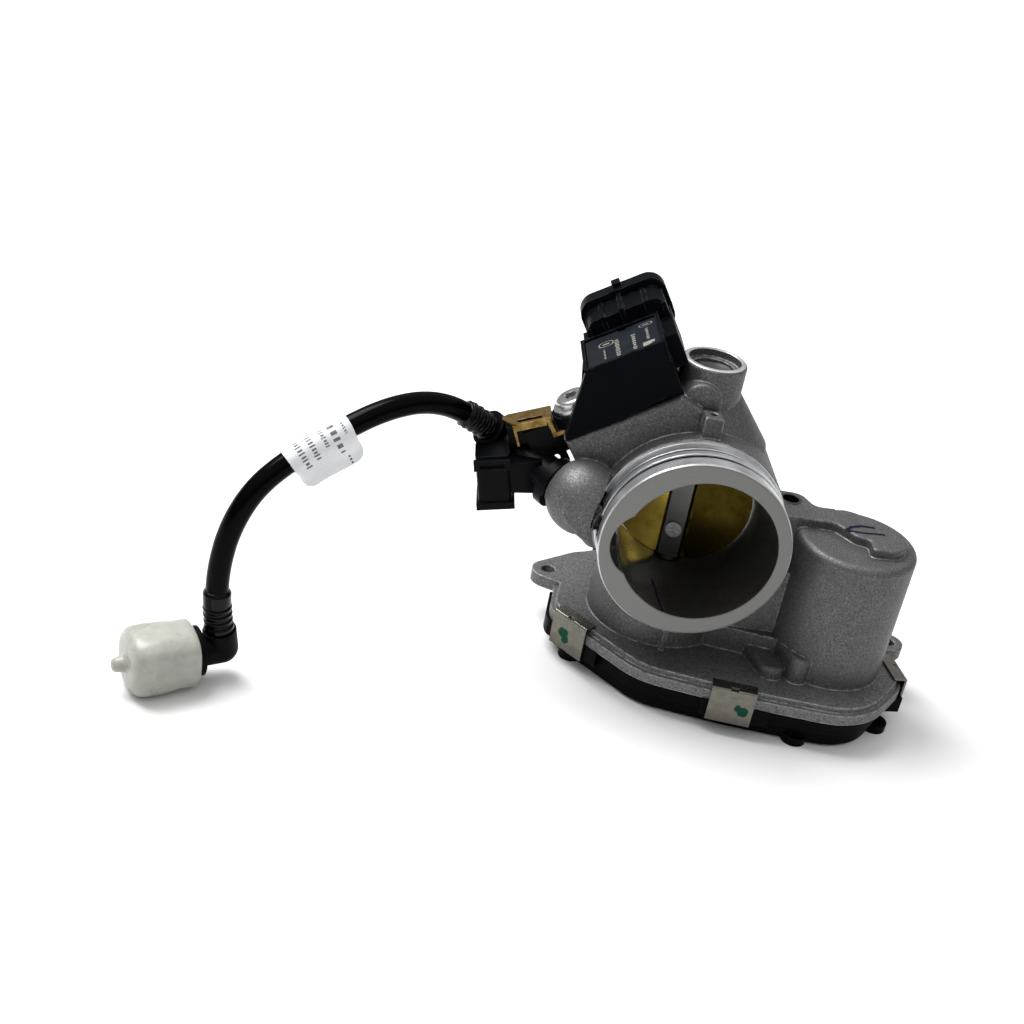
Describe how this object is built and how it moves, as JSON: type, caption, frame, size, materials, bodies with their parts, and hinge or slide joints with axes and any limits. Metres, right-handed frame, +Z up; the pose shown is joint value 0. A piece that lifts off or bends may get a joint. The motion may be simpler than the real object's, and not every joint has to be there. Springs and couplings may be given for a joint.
{
  "type": "electronic throttle body",
  "caption": "Electronic throttle body with motor and gear drive, brass plate, fuel injector, pressure sensor and a short fuel hose with a capped quick connector.",
  "frame": {"origin": "middle of the engine-side spigot's face, on the bore axis", "axes": "+Y along the bore from the engine side to the air side, +Z up along the throttle shaft, away from the gear cover; the drive motor is at +X"},
  "size_m": [0.2366, 0.1035, 0.1162],
  "materials": {
    "cast_aluminium": "bead-blasted die casting",
    "bright_steel": "turned or ground steel",
    "stainless": "bright spring stainless",
    "zinc_yellow": "yellow-passivated pressed steel",
    "brass_plate": "rolled brass",
    "black_plastic": "glass-filled moulding",
    "label_plastic": "fine-grained moulding",
    "gear_plastic": "natural moulded gear plastic",
    "black_rubber": "smooth hose rubber",
    "seal_rubber": "seal rubber",
    "cap_plastic": "milky flexible plastic",
    "paper": "printed paper",
    "copper_pin": "tinned terminal",
    "magnet": "sintered magnet",
    "board": "circuit board",
    "laminations": "stacked laminations"
  },
  "bodies": {
    "root": {"housing": "cast_aluminium", "shaft_plug": "bright_steel", "upper_bearing": "bright_steel", "lower_bearing": "bright_steel", "shaft_seal": "seal_rubber", "mount_bush": "bright_steel", "return_spring": "stainless", "spring_guide": "black_plastic", "idler_pin": "bright_steel", "motor_can": "bright_steel", "motor_magnets": "magnet", "motor_bearing": "copper_pin", "motor_wave_spring": "stainless", "motor_end_cap": "black_plastic", "motor_screws": "bright_steel", "gear_cover": "black_plastic", "cover_gasket": "seal_rubber", "cover_clips": "stainless", "position_sensor": "board", "cover_terminals": "copper_pin", "sensor_body": "black_plastic", "sensor_lid": "label_plastic", "sensor_board": "board", "sensor_terminals": "copper_pin", "sensor_seal": "seal_rubber", "sensor_bush": "bright_steel", "sensor_screw": "bright_steel", "injector_body": "bright_steel", "injector_connector": "black_plastic", "injector_terminals": "copper_pin", "injector_seals": "seal_rubber", "fuel_clip": "zinc_yellow", "fuel_cap": "black_plastic", "fuel_hose": "black_rubber", "hose_sleeves": "black_rubber", "elbow_connector": "black_plastic", "connector_seals": "seal_rubber", "hose_label": "paper"},
    "throttle": {"throttle_shaft": "bright_steel", "throttle_plate": "brass_plate", "plate_screws": "bright_steel", "sector_gear": "gear_plastic", "sensor_magnet": "magnet"},
    "idler": {"idler_gear": "gear_plastic"},
    "rotor": {"motor_armature": "laminations", "motor_shaft": "bright_steel", "motor_pinion": "brass_plate"},
    "cap": {"dust_cap": "cap_plastic"}
  },
  "joints": [
    {"name": "motor_turn", "type": "hinge", "parent": "root", "child": "rotor", "pos_m": [0.0515, 0.019, -0.043], "axis": [0, 0, -1], "range_deg": [-95.3, 1207.5]},
    {"name": "throttle_turn", "type": "hinge", "parent": "root", "child": "throttle", "pos_m": [0, 0.034, 0], "axis": [0, 0, -1], "range_deg": [-6, 76], "stiffness_Nm_per_rad": 0.12},
    {"name": "idler_turn", "type": "hinge", "parent": "root", "child": "idler", "pos_m": [0.03167, 0.02942, -0.046], "axis": [0, 0, -1], "range_deg": [-329.4, 26.1]},
    {"name": "dust_cap_pull", "type": "slide", "parent": "root", "child": "cap", "axis": [-0.8722, -0.4891, 0], "range_m": [0, 0.02]}
  ],
  "couplings": [
    {"joint": "idler_turn", "follows": "motor_turn", "ratio": -0.27273},
    {"joint": "throttle_turn", "follows": "motor_turn", "ratio": 0.062937}
  ]
}
